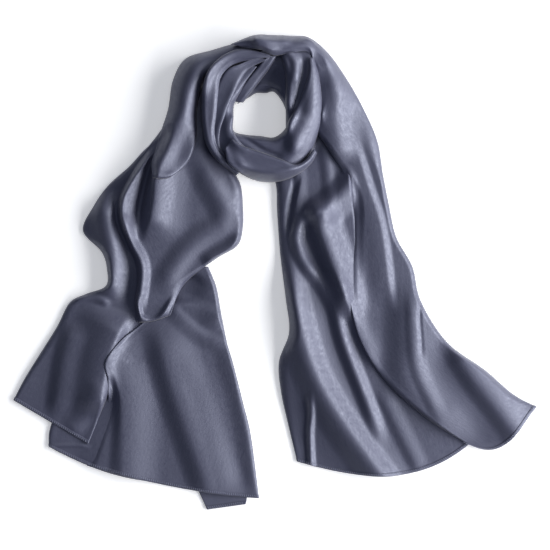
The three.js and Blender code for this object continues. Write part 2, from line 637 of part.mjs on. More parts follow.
// The layers hidden inside the loop: a rounded ring with a flat underside.
function addCore() {
  const grid = Array.from({ length: coreSteps + 1 }, (_, j) => {
    const row = rowAt(coreSections, ((j % coreSteps) * coreSections.length) / coreSteps, true);
    return Array.from({ length: coreArch + 1 }, (_, i) => {
      const turn = (Math.PI * i) / coreArch;
      const u = 0.5 - 0.5 * Math.cos(turn);
      const { x, y } = { x: row.aX + u * (row.bX - row.aX), y: row.aY + u * (row.bY - row.aY) };
      return new THREE.Vector3(x, y, row.height * Math.sin(turn));
    });
  });
  layDown(grid);
  const columns = coreArch + 1;
  const faces = [];
  for (let j = 0; j < coreSteps; j++) {
    const next = ((j + 1) % coreSteps) * columns;
    for (let i = 0; i < columns; i++) {
      const [p, q] = [j * columns + i, j * columns + ((i + 1) % columns)];
      const [r, s] = [next + i, next + ((i + 1) % columns)];
      faces.push(p, q, s, p, s, r);
    }
  }
  addPiece("loop_core", outward(grid.slice(0, coreSteps).flat(), faces), hiddenLook);
}

// One stretch of the cloth, and the hem on its end if it has one, made from the stretch's last points.
function addStretch(stretch) {
  const grid = drape(stretch);
  const normal = normals(grid);
  addPiece(stretch.name, wall(moved(grid, normal, -clothThickness), grid), satinLook);
  layDown(grid);
  if (!stretch.hem) return;
  const inset = (rows) => rows.slice(-2).map((line) => line.slice(1, -1));
  const hem = moved(inset(grid), inset(normal), seamGap + hemThickness);
  addPiece(stretch.name + "_hem", wall(moved(inset(grid), inset(normal), seamGap), hem), hemLook);
  layDown(hem);
}

addCore();
stretches.forEach(addStretch);

export default stole;
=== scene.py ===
import math
import bpy
import numpy as np
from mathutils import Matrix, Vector


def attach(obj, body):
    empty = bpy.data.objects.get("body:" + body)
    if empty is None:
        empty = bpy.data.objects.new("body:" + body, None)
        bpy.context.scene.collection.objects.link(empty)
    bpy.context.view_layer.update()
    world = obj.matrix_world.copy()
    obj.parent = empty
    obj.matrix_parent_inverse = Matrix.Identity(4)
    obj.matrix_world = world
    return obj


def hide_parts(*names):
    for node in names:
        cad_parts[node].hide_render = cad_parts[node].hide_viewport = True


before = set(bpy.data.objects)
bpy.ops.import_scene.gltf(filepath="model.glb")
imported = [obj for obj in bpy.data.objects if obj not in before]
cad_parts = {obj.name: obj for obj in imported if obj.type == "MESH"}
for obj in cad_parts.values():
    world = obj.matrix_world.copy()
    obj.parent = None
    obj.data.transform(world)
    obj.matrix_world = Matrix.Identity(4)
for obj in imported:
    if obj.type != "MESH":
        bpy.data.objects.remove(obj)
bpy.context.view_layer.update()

mm = 0.001

# the cloth as a whole, in millimetres and shares
cloth = dict(
    thickness=0.6,
    layerGap=0.5,  # from a stretch's underside to what it lies on
    reach=2.0,  # how far round a point a stretch looks for what it lies on
    step=2.3,  # spacing of the mesh
    lowest=0.7,  # height of a trough that lies on the floor
    floorSoftness=2.0,  # how gently a trough flattens on the floor
    seat=2.0,  # how far a joined border sinks
    foldFade=0.22,  # share of a fold's length over which each end dies away
    longestRoll=0.8,  # largest share of a section that one rolled border takes
    crowding=0.4,  # how much the points across a section crowd towards its borders
    tipKeeps=0.4,  # share of its height that a stretch keeps at a round tip
    stepsPerRow=40,  # steps between two sections when a stretch's length is measured
    crestSteps=16,  # steps between two points of a fold's crest
    crestPieces=24,  # straight pieces of that crest
    drapePasses=60,  # passes that spread a stretch's lift softly
    drapeShare=0.6,  # share of its neighbours' lift that a point takes in each pass
    smoothPasses=4,  # last passes, which even out what the lower layers print through
)
pileMap = dict(cell=1.0, halfX=420, halfY=400, finer=4)  # height map of what has been laid down
bowScale = 13.5  # brings a section's lean to bow1 and bow2 at a third and two thirds of its width
pastEnd = 99  # a row number past the last row of every stretch

# a section runs from border A to border B: its ends in plan, its height, the height of each border, the
# width over which that border rounds up, and how far it leans towards the next section
sectionColumns = "aX aY bX bY lift footA footB rollA rollB bow1 bow2"
# a fold's crest runs through four points: its rise, less than 0 in a trough, and its width on either hand
foldColumns = "x1 y1 x2 y2 x3 y3 x4 y4 rise left right"


def table(columns, rows):
    values = np.array(rows, dtype=float).reshape(len(rows), -1)
    return {name: values[:, i] for i, name in enumerate(columns.split())}


def ease(t):
    return t * t * (3 - 2 * t)


def between(p, q, r, s, t):  # smooth curve from q to r
    return 0.5 * (2 * q + (r - p) * t + (2 * p - 5 * q + 4 * r - s) * t**2 + (3 * q - p - 3 * r + s) * t**3)


def rowsAt(sections, v, closed=False):
    count = len(next(iter(sections.values())))
    k = np.floor(v).astype(int)
    if not closed:
        k = np.clip(k, 0, count - 2)

    def pick(i):
        return i % count if closed else np.clip(i, 0, count - 1)

    return {name: between(c[pick(k - 1)], c[pick(k)], c[pick(k + 1)], c[pick(k + 2)], v - k)
            for name, c in sections.items()}


def planPoints(row, u):  # row holds a column vector for each section, u runs across
    r = {name: c[:, None] for name, c in row.items()}
    dx, dy = r["bX"] - r["aX"], r["bY"] - r["aY"]
    chord = np.hypot(dx, dy)
    bow = bowScale * u * (1 - u) * (r["bow1"] * (2 / 3 - u) + r["bow2"] * (u - 1 / 3))
    return r["aX"] + u * dx + bow * dy / chord, r["aY"] + u * dy - bow * dx / chord, chord


def stepsAlong(sections, step):  # places along a stretch, evenly spaced by length
    count = len(sections["aX"])
    fine = np.linspace(0, count - 1, cloth["stepsPerRow"] * (count - 1) + 1)
    x, y, chord = planPoints(rowsAt(sections, fine), np.array([[0.5]]))
    run = np.concatenate([[0], np.cumsum(np.hypot(np.diff(x[:, 0]), np.diff(y[:, 0])))])
    goals = np.linspace(0, run[-1], int(round(run[-1] / step)) + 1)
    return np.interp(goals, run, fine), goals, chord.max()


def rolled(distance, roll):  # share of the height that a rounded border has reached
    return np.sqrt(1 - (1 - np.clip(distance / roll, 0, 1)) ** 2)


def sloped(distance, roll):  # the same for a border that runs out softly
    return ease(np.clip(distance / roll, 0, 1))


def crestLine(points):  # a fold's crest, in even pieces
    ends = np.vstack([2 * points[0] - points[1], points, 2 * points[-1] - points[-2]])
    t = np.linspace(0, 1, cloth["crestSteps"])[:, None]
    line = np.vstack([between(*ends[i:i + 4], t) for i in range(len(points) - 1)])
    run = np.concatenate([[0], np.cumsum(np.hypot(*np.diff(line, axis=0).T))])
    goals = np.linspace(0, run[-1], cloth["crestPieces"] + 1)
    return np.column_stack([np.interp(goals, run, line[:, i]) for i in (0, 1)])


def foldRises(folds, x, y):  # summed height of soft ridges and troughs
    total = np.zeros_like(x)
    for i in range(len(folds["rise"]) if folds else 0):
        points = np.array([[folds[f"x{k}"][i], folds[f"y{k}"][i]] for k in (1, 2, 3, 4)])
        line = crestLine(points)
        nearest, along, side = np.full_like(x, np.inf), np.zeros_like(x), np.zeros_like(x)
        for k in range(len(line) - 1):
            (px, py), (dx, dy) = line[k], line[k + 1] - line[k]
            t = np.clip(((x - px) * dx + (y - py) * dy) / (dx * dx + dy * dy), 0, 1)
            ox, oy = x - px - t * dx, y - py - t * dy
            distance = np.hypot(ox, oy)
            closer = distance < nearest
            nearest = np.where(closer, distance, nearest)
            along = np.where(closer, (k + t) / (len(line) - 1), along)
            side = np.where(closer, dx * oy - dy * ox, side)
        across = np.clip(nearest / np.where(side > 0, folds["left"][i], folds["right"][i]), 0, 1)
        fade = cloth["foldFade"]
        ends = ease(np.clip(along / fade, 0, 1)) * ease(np.clip((1 - along) / fade, 0, 1))
        total += folds["rise"][i] * ends * (0.5 + 0.5 * np.cos(np.pi * across))
    return total


pile = np.zeros([int(2 * pileMap[half] / pileMap["cell"]) + 1 for half in ("halfY", "halfX")])


def pileCells(x, y):
    i = np.clip(np.rint((x + pileMap["halfX"]) / pileMap["cell"]), 0, pile.shape[1] - 1).astype(int)
    j = np.clip(np.rint((y + pileMap["halfY"]) / pileMap["cell"]), 0, pile.shape[0] - 1).astype(int)
    return j, i


def refined(grid, times):  # points between the points of a grid
    for axis in (0, 1):
        place = np.linspace(0, grid.shape[axis] - 1, (grid.shape[axis] - 1) * times + 1)
        low = np.minimum(place.astype(int), grid.shape[axis] - 2)
        share = (place - low).reshape((-1, 1) if axis == 0 else (1, -1))
        grid = np.take(grid, low, axis) * (1 - share) + np.take(grid, low + 1, axis) * share
    return grid


def layDown(x, y, z):  # raises the height map to a stretch's top
    x, y, z = (refined(g, pileMap["finer"]) for g in (x, y, z))
    np.maximum.at(pile, pileCells(x, y), z)


def pileTop(x, y):  # highest thing within reach of each point
    cells = int(math.ceil(cloth["reach"] / pileMap["cell"]))
    high = pile.copy()
    for axis in (0, 1):
        spread = high.copy()
        for shift in range(1, cells + 1):
            spread = np.maximum(spread, np.maximum(np.roll(high, shift, axis), np.roll(high, -shift, axis)))
        high = spread
    return high[pileCells(x, y)]


def evened(lift, wanted, passes):  # spreads a lift softly and never below what is wanted
    share = cloth["drapeShare"]
    for _ in range(passes):
        edge = np.pad(lift, 1, mode="edge")
        mean = (edge[:-2, 1:-1] + edge[2:, 1:-1] + edge[1:-1, :-2] + edge[1:-1, 2:]) / 4
        lift = np.maximum(wanted, (1 - share) * lift + share * mean)
    return lift


def drape(stretch):  # a stretch's top: its rolled section and folds, lifted clear of what it lies on
    sections, folds = stretch["sections"], stretch.get("folds")
    v, run, widest = stepsAlong(sections, cloth["step"])
    even = np.linspace(0, 1, int(round(widest / cloth["step"])) + 1)[None, :]
    u = (1 - cloth["crowding"]) * even + cloth["crowding"] * ease(even)
    row = rowsAt(sections, v)
    x, y, chord = planPoints(row, u)
    col = {name: c[:, None] for name, c in row.items()}
    softFirst, softLast = stretch.get("soft", (pastEnd, pastEnd))
    soft = ease(np.clip(np.minimum(v - softFirst, softLast - v), 0, 1))[:, None]
    rollA = np.minimum(col["rollA"], cloth["longestRoll"] * chord)
    rollB = np.minimum(col["rollB"], cloth["longestRoll"] * chord)
    edgeA = (1 - soft) * rolled(u * chord, rollA) + soft * sloped(u * chord, rollA)
    edgeB = rolled((1 - u) * chord, rollB)
    dropA = (col["lift"] - col["footA"]) * (1 - edgeA)
    dropB = (col["lift"] - col["footB"]) * (1 - edgeB)
    rise = foldRises(folds, x, y) + foldRises(stretch.get("creases"), x, y)
    tip = rolled(run[-1] - run, stretch["roundTip"])[:, None] if stretch.get("roundTip") else 1
    tip = cloth["tipKeeps"] + (1 - cloth["tipKeeps"]) * tip
    own = (col["lift"] - dropA - dropB + rise * edgeA * edgeB) * tip - cloth["lowest"]
    z = cloth["lowest"] + 0.5 * (own + np.hypot(own, cloth["floorSoftness"]))
    under = pileTop(x, y)
    wanted = np.where(under > 0, np.maximum(0, under + cloth["thickness"] + cloth["layerGap"] - z), 0)
    if stretch.get("tuck"):
        first, last, width = stretch["tuck"]
        wanted[(v[:, None] > first) & (v[:, None] < last) & (u * chord < width)] = 0
    lift = evened(wanted, wanted, cloth["drapePasses"])
    z = z + evened(lift, np.zeros_like(lift), cloth["smoothPasses"])
    if stretch.get("join"):
        first, last, width = stretch["join"]
        within = ease(np.clip(v - first, 0, 1) * np.clip(last - v, 0, 1))[:, None]
        z = z - stretch.get("seat", cloth["seat"]) * within * (1 - sloped(u * chord, width))
    return dict(x=x, y=y, z=z, u=u * chord, v=run[:, None] + 0 * x)


def deselectAll():
    if bpy.context.mode != "OBJECT":
        bpy.ops.object.mode_set(mode="OBJECT")
    bpy.ops.object.select_all(action="DESELECT")


def gridMesh(name, top):  # a flat grid with its points moved to the cloth's places
    deselectAll()
    rows, columns = top["x"].shape
    bpy.ops.mesh.primitive_grid_add(x_subdivisions=columns - 1, y_subdivisions=rows - 1, size=1)
    piece = bpy.context.object
    piece.name = piece.data.name = name
    turned = np.cross(*(np.array([np.gradient(top["x"], axis=a).mean(), np.gradient(top["y"], axis=a).mean()])
                        for a in (1, 0))) < 0
    grids = [top[key][:, ::-1] if turned else top[key] for key in ("x", "y", "z", "u", "v")]
    piece.data.vertices.foreach_set("co", np.column_stack([g.ravel() for g in grids[:3]]).ravel() * mm)
    corner = np.empty(len(piece.data.loops), dtype=int)
    piece.data.loops.foreach_get("vertex_index", corner)
    flat = np.column_stack([grids[3].ravel()[corner], grids[4].ravel()[corner]]) * mm
    piece.data.uv_layers[0].data.foreach_set("uv", flat.ravel())
    piece.data.update()
    return piece


def applyModifier(piece, name):
    bpy.context.view_layer.objects.active = piece
    bpy.ops.object.modifier_apply(modifier=name)


def finishShell(piece, thickness):
    shell = piece.modifiers.new("wall", "SOLIDIFY")
    shell.thickness = thickness * mm
    shell.offset = -1
    applyModifier(piece, "wall")
    deselectAll()
    piece.select_set(True)
    bpy.context.view_layer.objects.active = piece
    bpy.ops.object.shade_smooth()
    piece.select_set(False)


def toLinear(hexColour):
    parts = [int(hexColour[i:i + 2], 16) / 255 for i in (1, 3, 5)]
    return tuple(c / 12.92 if c <= 0.04045 else ((c + 0.055) / 1.055) ** 2.4 for c in parts) + (1.0,)


def addNode(tree, kind, settings=None, links=None):
    node = tree.nodes.new(kind)
    for key, value in (settings or {}).items():
        if key in node.inputs:
            node.inputs[key].default_value = value
        else:
            setattr(node, key, value)
    for key, source in (links or {}).items():
        tree.links.new(source, node.inputs[key])
    return node


# polyester charmeuse: long warp floats give a smooth face with broad, soft highlights that break up a little
satin = dict(
    colour="#323348", streak="#45465a", shine="#dfe4f6",
    roughness=0.53, patchy=0.1, sheen=0.12, specular=0.6, ior=1.9, anisotropy=0.3,
    streakSpacing=1.6, streakLength=60.0, grain=1.4, grainHeight=0.08,  # in millimetres, as are the next
    crumple=4.0, crumpleLength=7.5, crumpleHeight=0.3, ripple=38.0, rippleHeight=0.5,
)


def satinMaterial(name, look):
    material = bpy.data.materials.new(name)
    material.use_nodes = True
    tree = material.node_tree
    tree.nodes.clear()
    place = addNode(tree, "ShaderNodeTexCoord")
    threads = addNode(tree, "ShaderNodeMapping",
                      {"Scale": (1 / (look["streakSpacing"] * mm), 1 / (look["streakLength"] * mm), 1.0)},
                      {"Vector": place.outputs["UV"]})  # coarser than real floats, so that it shows
    streaks = addNode(tree, "ShaderNodeTexNoise", {"Scale": 1.0, "Detail": 3.0, "Roughness": 0.6},
                      {"Vector": threads.outputs["Vector"]})
    shade = addNode(tree, "ShaderNodeMix", {"data_type": "RGBA"}, {"Factor": streaks.outputs["Fac"]})
    shade.inputs["A"].default_value = toLinear(look["colour"])
    shade.inputs["B"].default_value = toLinear(look["streak"])
    weave = addNode(tree, "ShaderNodeMapping",
                    {"Scale": (1 / (look["crumple"] * mm), 1 / (look["crumpleLength"] * mm), 1.0)},
                    {"Vector": place.outputs["UV"]})
    patches = addNode(tree, "ShaderNodeTexNoise", {"Scale": 1.0, "Detail": 4.0, "Roughness": 0.65},
                      {"Vector": weave.outputs["Vector"]})
    gloss = addNode(tree, "ShaderNodeMapRange",
                    {"From Min": 0.3, "From Max": 0.7, "To Min": look["roughness"] - look["patchy"],
                     "To Max": look["roughness"] + look["patchy"]},
                    {"Value": patches.outputs["Fac"]})
    ripples = addNode(tree, "ShaderNodeTexNoise", {"Scale": 1 / (look["ripple"] * mm), "Detail": 2.0},
                      {"Vector": place.outputs["Object"]})
    grain = addNode(tree, "ShaderNodeTexNoise", {"Scale": 1 / (look["grain"] * mm), "Detail": 1.0},
                    {"Vector": place.outputs["Object"]})
    normal = None
    for source, height in ((ripples, "rippleHeight"), (patches, "crumpleHeight"), (grain, "grainHeight")):
        bump = addNode(tree, "ShaderNodeBump", {"Strength": 1.0, "Distance": look[height] * mm},
                       {"Height": source.outputs["Fac"]} | ({"Normal": normal} if normal else {}))
        normal = bump.outputs["Normal"]
    along = addNode(tree, "ShaderNodeTangent", {"direction_type": "UV_MAP"})
    surface = addNode(tree, "ShaderNodeBsdfPrincipled",
                      {"Sheen Weight": look["sheen"], "Specular IOR Level": look["specular"],
                       "Anisotropic": look["anisotropy"], "IOR": look["ior"],
                       "Specular Tint": toLinear(look["shine"])},
                      {"Base Color": shade.outputs[2], "Roughness": gloss.outputs["Result"],
                       "Normal": normal, "Tangent": along.outputs["Tangent"]})
    addNode(tree, "ShaderNodeOutputMaterial", None, {"Surface": surface.outputs["BSDF"]})
    return material


satinCloth = satinMaterial("satin_charmeuse", satin)


# spun polyester thread: matt, a shade lighter than the cloth
thread = dict(colour="#a4a8bd", roughness=0.7, sheen=0.2, twist=0.6)  # twist in millimetres


def threadMaterial(name, look):
    material = bpy.data.materials.new(name)
    material.use_nodes = True
    tree = material.node_tree
    surface = tree.nodes["Principled BSDF"]
    place = addNode(tree, "ShaderNodeTexCoord")
    twist = addNode(tree, "ShaderNodeTexNoise", {"Scale": 1 / (look["twist"] * mm)},
                    {"Vector": place.outputs["Object"]})
    shade = addNode(tree, "ShaderNodeMix", {"data_type": "RGBA"}, {"Factor": twist.outputs["Fac"]})
    shade.inputs["A"].default_value = toLinear(look["colour"])
    shade.inputs["B"].default_value = toLinear(satin["streak"])
    tree.links.new(shade.outputs[2], surface.inputs["Base Color"])
    surface.inputs["Roughness"].default_value = look["roughness"]
    surface.inputs["Sheen Weight"].default_value = look["sheen"]
    return material


sewingThread = threadMaterial("polyester_thread", thread)

# narrow turned hem, overcast with slanting stitches, in millimetres
hem = dict(
    width=5.5, rise=0.8, edge=0.4, thickness=0.3,
    madeFrom=8,  # last rows of the stretch that it is made from
    stitchSpacing=3.2, stitchLength=4.4, stitchThick=0.9, stitchLift=0.15, slant=0.15,
)
hemProfile = table("far high", [  # from the folded edge inwards, in shares of its width and rise
    [0, -0.4],
    [0.06, 0.5],
    [0.2, 0.95],
    [0.5, 1],
    [0.8, 0.95],
    [0.94, 0.6],
    [1, 0.1],
])
stitchFrom, hemMiddle, stitchTo = 2, 3, 4  # rows of that profile


def upNormals(points):
    across, along = np.gradient(points, axis=1), np.gradient(points, axis=0)
    normal = np.cross(across, along)
    normal *= np.sign(normal[..., 2:3])
    return normal / np.linalg.norm(normal, axis=-1, keepdims=True)


def sewHem(name, top):  # a rounded strip along the last rows of a stretch, with its stitches
    points = np.stack([top["x"], top["y"], top["z"]], -1)[::-1][:hem["madeFrom"]]  # from the end inwards
    normal = upNormals(points)
    run = np.concatenate([np.zeros((1, points.shape[1])),
                          np.cumsum(np.linalg.norm(np.diff(points, axis=0), axis=-1), axis=0)])
    far, high = hemProfile["far"] * hem["width"], hemProfile["high"] * hem["rise"]

    def inwards(values, d):  # values at a distance from the end, for each column
        return np.array([np.interp(d, run[:, i], values[:, i]) for i in range(points.shape[1])])

    strip = np.array([[inwards(points[..., k], d) + h * inwards(normal[..., k], d) for k in range(3)]
                      for d, h in zip(far, high)])
    beyond = strip[0] - strip[stitchFrom]
    strip[0] += hem["edge"] * beyond / np.linalg.norm(beyond, axis=0)
    x, y, z = strip[:, 0], strip[:, 1], strip[:, 2]
    steps = np.hypot(np.diff(x[hemMiddle]), np.diff(y[hemMiddle]))
    width = np.concatenate([[0], np.cumsum(steps)])
    grid = dict(x=x, y=y, z=z, u=far[:, None] + 0 * x, v=width[None, :] + 0 * x)
    piece = gridMesh(name, grid)
    finishShell(piece, hem["thickness"])
    piece.data.materials.append(satinCloth)
    piece.data.materials.append(sewingThread)
    deselectAll()
    bpy.ops.mesh.primitive_uv_sphere_add(segments=6, ring_count=4, radius=0.5)  # stretched to one stitch
    stitch = bpy.context.object
    stitch.scale = (hem["stitchLength"] * mm, hem["stitchThick"] * mm, hem["stitchThick"] * mm)
    bpy.ops.object.transform_apply(scale=True)
    copies = []
    for place in np.arange(hem["stitchSpacing"], width[-1] - hem["stitchSpacing"], hem["stitchSpacing"]):
        outer, inner = (np.array([np.interp(place, width, strip[row, k]) for k in range(3)])
                        for row in (stitchFrom, stitchTo))
        way = inner - outer
        side = np.array([-way[1], way[0], 0])
        way = way + hem["slant"] * side
        lie = Vector(way).to_track_quat("X", "Z").to_matrix().to_4x4()
        lie.translation = Vector((inner + outer) / 2 + np.array([0, 0, hem["stitchLift"]])) * mm
        one = stitch.copy()
        one.data = stitch.data.copy()
        one.data.transform(lie)
        one.data.materials.append(sewingThread)
        bpy.context.scene.collection.objects.link(one)
        copies.append(one)
    bpy.data.objects.remove(stitch)
    deselectAll()
    for one in copies + [piece]:
        one.select_set(True)
    bpy.context.view_layer.objects.active = piece
    bpy.ops.object.join()
    deselectAll()
    layDown(x, y, z)
    return piece


def layStretch(stretch):
    top = drape(stretch)
    piece = gridMesh(stretch["piece"], top)
    finishShell(piece, cloth["thickness"])
    piece.data.materials.append(satinCloth)
    layDown(top["x"], top["y"], top["z"])
    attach(piece, "root")
    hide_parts(stretch["node"])
    sewn = []
    if stretch.get("hem"):
        sewn = [sewHem(stretch["hem"] + "_sewn", top)]
        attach(sewn[0], "root")
        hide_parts(stretch["hem"])
    print("laid", piece.name, len(piece.data.vertices), "points", "with a hem" if sewn else "")


# layers hidden inside the loop, as one rounded ring: side A along the neck opening, B under the bands
coreColumns = "aX aY bX bY height"
loopCore = dict(
    piece="loop_core_cloth", node="loop_core", flat=(0.072, 0.42), held="folded",
    restsOn=["studio_floor"],
    around=160, arch=22,  # steps round the ring and over its arch
    girth=20, weld=0.05,  # millimetres of cloth to a radian of the arch, and the gap closed in the ring
    sections=table(coreColumns, [
        [-20, 303, -20, 340, 24],
        [22, 279, 52, 318, 26],
        [30, 238, 60, 246, 26],
        [22, 207, 46, 180, 25],
        [-20, 194, -16, 150, 25],
        [-62, 198, -82, 174, 24],
        [-74, 232, -100, 237, 24],
        [-56, 273, -88, 303, 25],
    ]),
)


def layCore(core):
    turn = np.linspace(0, math.pi, core["arch"] + 1)[None, :]
    place = np.linspace(0, len(core["sections"]["aX"]), core["around"] + 1)
    row = {name: c[:, None] for name, c in rowsAt(core["sections"], place, closed=True).items()}
    u = 0.5 - 0.5 * np.cos(turn)
    x, y = row["aX"] + u * (row["bX"] - row["aX"]), row["aY"] + u * (row["bY"] - row["aY"])
    z = cloth["lowest"] + (row["height"] - cloth["lowest"]) * np.sin(turn)
    run = np.concatenate([[0], np.cumsum(np.hypot(np.diff(x.mean(1)), np.diff(y.mean(1))))])
    grid = dict(x=x, y=y, z=z, u=turn * core["girth"] + 0 * x, v=run[:, None] + 0 * x)
    piece = gridMesh(core["piece"], grid)
    bpy.ops.object.mode_set(mode="EDIT")
    bpy.ops.mesh.select_all(action="SELECT")
    bpy.ops.mesh.remove_doubles(threshold=core["weld"] * mm)  # closes the ring
    bpy.ops.object.mode_set(mode="OBJECT")
    finishShell(piece, cloth["thickness"])
    piece.data.materials.append(satinCloth)
    layDown(x, y, z)
    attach(piece, "root")
    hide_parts(core["node"])
    print("laid", piece.name, len(piece.data.vertices), "points")


layCore(loopCore)

# the stretches follow from the bottom of the pile up, in millimetres. Rows are counted along the sections.
# soft: the rows between which border A runs out softly
# join: the rows between which border A grows out of what it lies on, and how wide, sunk by the seat
# tuck: the rows between which border A slips under the loop, and how wide
# roundTip: the length over which the far end rounds down

# left end: corner of the turned-under layer that shows below the hem
leftUnderlap = dict(
    piece="left_underlap_cloth", node="left_underlap", flat=(0.074, 0.045), held="laid",
    restsOn=["studio_floor"],
    hem="left_underlap_hem",
    sections=table(sectionColumns, [
        [-128, -303, -42, -315, 2, 2, 2, 4, 4, 0, 0],
        [-114, -330, -42, -338, 2, 2, 2, 4, 4, 0, 0],
        [-102, -356, -44, -348, 2, 2, 2, 4, 4, 0, 0],
    ]),
)
layStretch(leftUnderlap)

# left end: turned-under layer at the hem
leftUnderlay = dict(
    piece="left_underlay_cloth", node="left_underlay", flat=(0.128, 0.185), held="laid",
    restsOn=["left_underlap"],
    hem="left_underlay_hem",
    sections=table(sectionColumns, [
        [-244, -123, -184, -120, 4, 2, 2, 6, 6, 0, 0],
        [-290, -174, -184, -171, 5, 2, 2, 6, 6, 0, 0],
        [-326, -210, -184, -213, 5, 2, 2, 6, 6, 0, 0],
        [-338, -237, -184, -261, 5, 2, 2, 6, 6, 3, 4],
        [-339, -262, -184, -314, 4, 3, 2, 5, 5, 7, 8],
    ]),
    folds=table(foldColumns, [
        [-224, -150, -236, -198, -244, -246, -250, -327, 4, 14, 60],
        [-346, -261, -320, -260, -296, -260, -274, -262, 2, 5, 5],
    ]),
)
layStretch(leftUnderlay)

# left end: flap along the outer side
leftFlap = dict(
    piece="left_flap_cloth", node="left_flap", flat=(0.103, 0.497), held="laid",
    restsOn=["left_underlay"],
    hem="left_flap_hem",
    sections=table(sectionColumns, [
        [-172, 202, -152, 201, 12, 2, 3, 12, 6, 0, 0],
        [-195, 184, -160, 168, 12, 2, 3, 12, 6, 0, 0],
        [-219, 158, -172, 141, 12, 2, 3, 14, 6, 0, 0],
        [-250, 130, -184, 116, 11, 2, 3, 14, 6, 0, 0],
        [-272, 99, -192, 88, 10, 2, 3, 16, 6, 0, 0],
        [-288, 62, -195, 54, 9, 2, 3, 16, 6, 0, 0],
        [-260, 30, -190, 24, 10, 2, 3, 12, 6, 0, 0],
        [-252, 4, -188, -4, 11, 2, 3, 10, 6, 0, 0],
        [-254, -21, -184, -33, 10, 2, 3, 10, 6, 0, 0],
        [-284, -33, -184, -57, 9, 2, 3, 12, 6, 0, 0],
        [-308, -46, -188, -84, 8, 2, 3, 12, 6, 0, 0],
        [-327, -82, -208, -114, 8, 2, 3, 12, 6, 0, 0],
        [-352, -122, -230, -144, 8, 2, 4, 10, 6, 0, 0],
        [-375, -159, -244, -171, 7, 2, 5, 8, 5, 0, 0],
        [-392, -192, -280, -258, 5, 3, 5, 5, 4, 0, 0],
    ]),
    folds=table(foldColumns, [
        [-256, 126, -252, 75, -242, 15, -250, -54, 14, 26, 32],
        [-218, -51, -238, -102, -250, -147, -268, -234, 8, 22, 90],
        [-297, -69, -314, -123, -322, -171, -330, -225, 6, 30, 20],
        [-254, -159, -274, -198, -292, -222, -314, -249, 4, 22, 28],
        [-308, -42, -286, -39, -266, -40, -244, -50, 4, 9, 9],
    ]),
    creases=table(foldColumns, [
        [-220, -60, -242, -105, -254, -144, -266, -222, 11, 16, 75],
    ]),
)
layStretch(leftFlap)

# left end: broad panel in the middle
leftCentre = dict(
    piece="left_centre_cloth", node="left_centre", flat=(0.186, 0.342), held="laid",
    restsOn=["left_underlap", "left_flap"],
    hem="left_centre_hem",
    soft=(4.6, pastEnd),
    join=(2.0, 9.9, 15),
    seat=3,
    sections=table(sectionColumns, [
        [-172, 9, -100, 8, 8, 2, 2, 6, 6, 0, 0],
        [-182, -27, -88, -22, 9, 2, 2, 6, 6, 0, 0],
        [-192, -68, -81, -60, 9, 3, 2, 8, 6, 0, 0],
        [-230, -102, -72, -105, 10, 4, 8, 12, 4, 0, 0],
        [-254, -134, -64, -132, 10, 4, 8, 12, 4, 0, 0],
        [-250, -162, -57, -159, 9, 3, 8, 13, 4, 0, 0],
        [-250, -195, -48, -195, 8, 2, 7.5, 20, 8, 0, 0],
        [-266, -248, -36, -246, 6, 2, 5.5, 34, 8, 3, 4],
        [-282, -290, -24, -339, 4, 2, 3.5, 42, 8, 6, 6.5],
    ]),
    folds=table(foldColumns, [
        [-208, -84, -246, -132, -226, -195, -230, -372, 10, 60, 30],
        [-178, -57, -158, -147, -140, -204, -82, -372, 10, 56, 34],
        [-140, -99, -122, -144, -102, -192, -58, -357, 1.5, 26, 24],
        [-82, -75, -63, -141, -45, -201, -16, -357, 4, 12, 28],
        [-128, 9, -142, -12, -152, -30, -154, -51, -7, 48, 12],
        [-160, -36, -128, -51, -104, -60, -68, -72, 4, 18, 30],
        [-166, -45, -134, -75, -104, -98, -68, -108, 3, 14, 20],
    ]),
    creases=table(foldColumns, [
        [-94, 15, -88, -18, -82, -48, -74, -87, 4.5, 8, 42],
    ]),
)
layStretch(leftCentre)

# left end: pouch below the loop, with its hooked fold
leftBody = dict(
    piece="left_body_cloth", node="left_body", flat=(0.139, 0.381), held="laid",
    restsOn=["left_flap", "left_centre"],
    roundTip=12,
    soft=(2.2, pastEnd),
    join=(2.4, 12.6, 9),
    sections=table(sectionColumns, [
        [-140, 282, -92, 270, 12, 2, 8, 10, 8, 0, 0],
        [-154, 240, -88, 231, 15, 2, 8, 12, 8, 0, 0],
        [-176, 206, -86, 196, 17, 2, 7, 16, 8, 0, 0],
        [-198, 177, -70, 165, 18, 3, 4, 16, 10, 0, 0],
        [-220, 144, -52, 132, 17, 3, 2, 13, 14, 0, 0],
        [-237, 110, -48, 99, 16, 4, 2, 12, 14, 0, 0],
        [-238, 76, -48, 68, 16, 5, 2, 12, 8, 0, 0],
        [-225, 42, -56, 40, 16, 6, 2, 12, 8, 0, 0],
        [-213, 14, -88, 20, 16, 7, 4, 10, 8, 0, 0],
        [-210, -16, -130, -12, 16, 8, 6, 9, 14, 0, 0],
        [-214, -45, -146, -36, 15, 8, 7, 9, 14, 0, 0],
        [-207, -76, -156, -64, 13, 8, 7, 8, 14, 3, 3],
    ]),
    folds=table(foldColumns, [
        [-146, 213, -177, 153, -184, 108, -192, 39, 13, 62, 15],
        [-176, 198, -189, 147, -200, 108, -208, 63, -5, 8, 12],
        [-176, 207, -216, 141, -230, 96, -213, 44, 11, 28, 14],
        [-230, 96, -216, 48, -198, 6, -206, -66, 9, 14, 10],
        [-207, -30, -200, -68, -174, -70, -146, -30, 5, 7, 7],
        [-172, -39, -152, 6, -112, 51, -46, 87, 5.5, 26, 24],
        [-110, 8, -84, 22, -62, 36, -40, 58, 7, 22, 8],
        [-124, 213, -110, 168, -93, 130, -62, 72, 7.5, 26, 30],
    ]),
    creases=table(foldColumns, [
        [-168, 183, -177, 144, -180, 108, -188, 60, 5.5, 34, 8],
    ]),
)
layStretch(leftBody)

